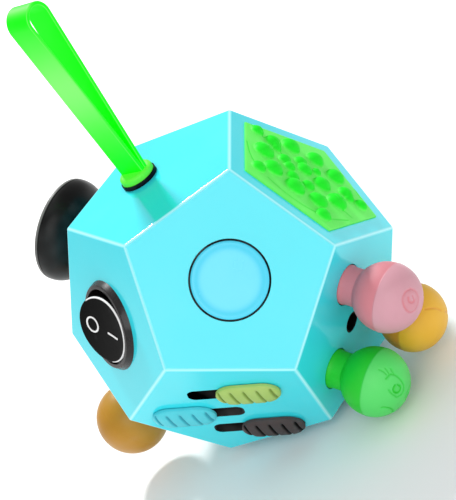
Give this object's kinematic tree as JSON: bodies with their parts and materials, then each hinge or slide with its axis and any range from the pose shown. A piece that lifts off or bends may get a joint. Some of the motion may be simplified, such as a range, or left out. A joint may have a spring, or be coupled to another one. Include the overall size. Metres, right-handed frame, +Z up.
{
  "type": "fidget cube",
  "caption": "Hand-held dodecahedral fidget toy with a button, pull strap, pebbled pad, rocker, sliders, bobble heads, suction cup, joystick, rollers, dial and spinner.",
  "frame": {"origin": "middle of the base ring's lower face, which the toy stands on", "axes": "+Z up along the pull strap, -Y towards the button face"},
  "size_m": [0.0737, 0.0733, 0.1018],
  "materials": {
    "shell": "smooth moulded ABS, sky blue",
    "cap": "smooth moulded ABS, pale blue",
    "black": "black ABS",
    "bezel": "charcoal ABS",
    "mark": "white pad print",
    "strap": "green silicone",
    "pad": "translucent green silicone",
    "gasket": "black rubber",
    "lime": "lime soft-touch grip",
    "blue": "blue soft-touch grip",
    "dark": "charcoal soft-touch grip",
    "pink": "pink silicone",
    "green": "green silicone",
    "orange": "orange silicone",
    "ochre": "ochre ABS",
    "cup": "black rubber",
    "white": "white acetal",
    "steel": "spring and pin steel"
  },
  "bodies": {
    "case": {"front_shell": "shell", "rear_shell": "shell", "locating_pins": "steel", "button_sleeve": "black", "button_base": "black", "button_spring": "steel", "strap_gasket": "gasket", "strap_bushing": "black", "strap_spring": "steel", "texture_pad": "pad", "pad_backing": "black", "rocker_bezel": "bezel", "rocker_pin": "steel", "slider_track": "black", "head_plate": "black", "cup_stud": "white", "joystick_cradle": "black", "joystick_gate": "black", "joystick_spring": "steel", "roller_cradle": "black", "roller_axle": "steel", "base_ring": "bezel", "base_hub": "white", "spinner_post": "white", "worry_dish": "bezel", "pink_spring": "steel", "green_spring": "steel", "orange_spring": "steel", "lime_liner": "black", "blue_liner": "black", "black_liner": "black"},
    "button": {"button_cap": "cap"},
    "strap": {"strap_loop": "strap", "strap_collar": "strap", "strap_stem": "black"},
    "rocker": {"rocker_paddle": "black", "rocker_marks": "mark", "rocker_plunger": "white"},
    "lime_slide": {"lime_slider": "lime", "lime_carrier": "black"},
    "blue_slide": {"blue_slider": "blue", "blue_carrier": "black"},
    "black_slide": {"black_slider": "dark", "black_carrier": "black"},
    "pink_bobble": {"pink_head": "pink", "pink_post": "white"},
    "green_bobble": {"green_head": "green", "green_post": "white"},
    "orange_bobble": {"orange_head": "orange", "orange_post": "white"},
    "cup": {"suction_cup": "cup"},
    "gimbal": {"joystick_gimbal": "white"},
    "stick": {"joystick_ball": "ochre", "joystick_shaft": "white"},
    "roller_1": {"roller_1": "pink"},
    "roller_2": {"roller_2": "lime"},
    "roller_3": {"roller_3": "ochre"},
    "dial": {"base_dial": "green"},
    "spinner": {"spinner_disc": "orange", "spinner_bearing": "steel"}
  },
  "joints": [
    {"name": "button_press", "type": "slide", "parent": "case", "child": "button", "axis": [0, 0.8944, -0.4472], "range_m": [0, 0.0016], "stiffness_N_per_m": 600, "springref_m": -0.001, "deforming": ["button_spring"]},
    {"name": "strap_pull", "type": "slide", "parent": "case", "child": "strap", "axis": [0, 0, 1], "range_m": [0, 0.005], "stiffness_N_per_m": 500, "springref_m": -0.002, "deforming": ["strap_spring"]},
    {"name": "rocker_tilt", "type": "hinge", "parent": "case", "child": "rocker", "pos_m": [-0.02276, -0.00722, 0.04154], "axis": [-0.4956, 0.1376, -0.8576], "range_deg": [0, 22]},
    {"name": "lime_slide", "type": "slide", "parent": "case", "child": "lime_slide", "axis": [-0.8424, 0.3697, 0.3921], "range_m": [0, 0.0093]},
    {"name": "blue_slide", "type": "slide", "parent": "case", "child": "blue_slide", "axis": [0.8424, -0.3697, -0.3921], "range_m": [0, 0.0093]},
    {"name": "black_slide", "type": "slide", "parent": "case", "child": "black_slide", "axis": [-0.8424, 0.3697, 0.3921], "range_m": [0, 0.0093]},
    {"name": "pink_nod", "type": "hinge", "parent": "case", "child": "pink_bobble", "pos_m": [0.01739, -0.0218, 0.02677], "axis": [-0.7832, -0.6169, 0.0775], "range_deg": [-4, 12], "stiffness_Nm_per_rad": 0.35, "deforming": ["pink_spring"]},
    {"name": "green_nod", "type": "hinge", "parent": "case", "child": "green_bobble", "pos_m": [0.00604, -0.02162, 0.01314], "axis": [0.2124, 0.6208, -0.7547], "range_deg": [-4, 12], "stiffness_Nm_per_rad": 0.35, "deforming": ["green_spring"]},
    {"name": "orange_nod", "type": "hinge", "parent": "case", "child": "orange_bobble", "pos_m": [0.01986, -0.01249, 0.0146], "axis": [0.5603, -0.101, 0.8221], "range_deg": [-4, 12], "stiffness_Nm_per_rad": 0.35, "deforming": ["orange_spring"]},
    {"name": "cup_swivel", "type": "hinge", "parent": "case", "child": "cup", "pos_m": [-0.01621, 0.02231, 0.04463], "axis": [-0.5257, 0.7236, 0.4472], "continuous": true},
    {"name": "joystick_tilt_x", "type": "hinge", "parent": "case", "child": "gimbal", "pos_m": [-0.01943, 0.00631, 0.02062], "axis": [0.309, -0.4253, -0.8507], "range_deg": [-15, 15], "stiffness_Nm_per_rad": 0.3, "deforming": ["joystick_spring"]},
    {"name": "joystick_tilt_y", "type": "hinge", "parent": "gimbal", "child": "stick", "pos_m": [-0.01943, 0.00631, 0.02062], "axis": [-0.4253, -0.8618, 0.2764], "range_deg": [-15, 15], "stiffness_Nm_per_rad": 0.3, "deforming": ["joystick_spring"]},
    {"name": "roller_1_spin", "type": "hinge", "parent": "case", "child": "roller_1", "pos_m": [0.01295, 0.01783, 0.04186], "axis": [-0.809, 0.2629, 0.5257], "continuous": true},
    {"name": "roller_2_spin", "type": "hinge", "parent": "case", "child": "roller_2", "pos_m": [0.01295, 0.01783, 0.04186], "axis": [-0.809, 0.2629, 0.5257], "continuous": true},
    {"name": "roller_3_spin", "type": "hinge", "parent": "case", "child": "roller_3", "pos_m": [0.01295, 0.01783, 0.04186], "axis": [-0.809, 0.2629, 0.5257], "continuous": true},
    {"name": "dial_spin", "type": "hinge", "parent": "case", "child": "dial", "pos_m": [0, 0, 0.002], "axis": [0, 0, -1], "continuous": true},
    {"name": "spinner_spin", "type": "hinge", "parent": "case", "child": "spinner", "pos_m": [0.02538, 0.00825, 0.01749], "axis": [0.8507, 0.2764, -0.4472], "continuous": true}
  ]
}
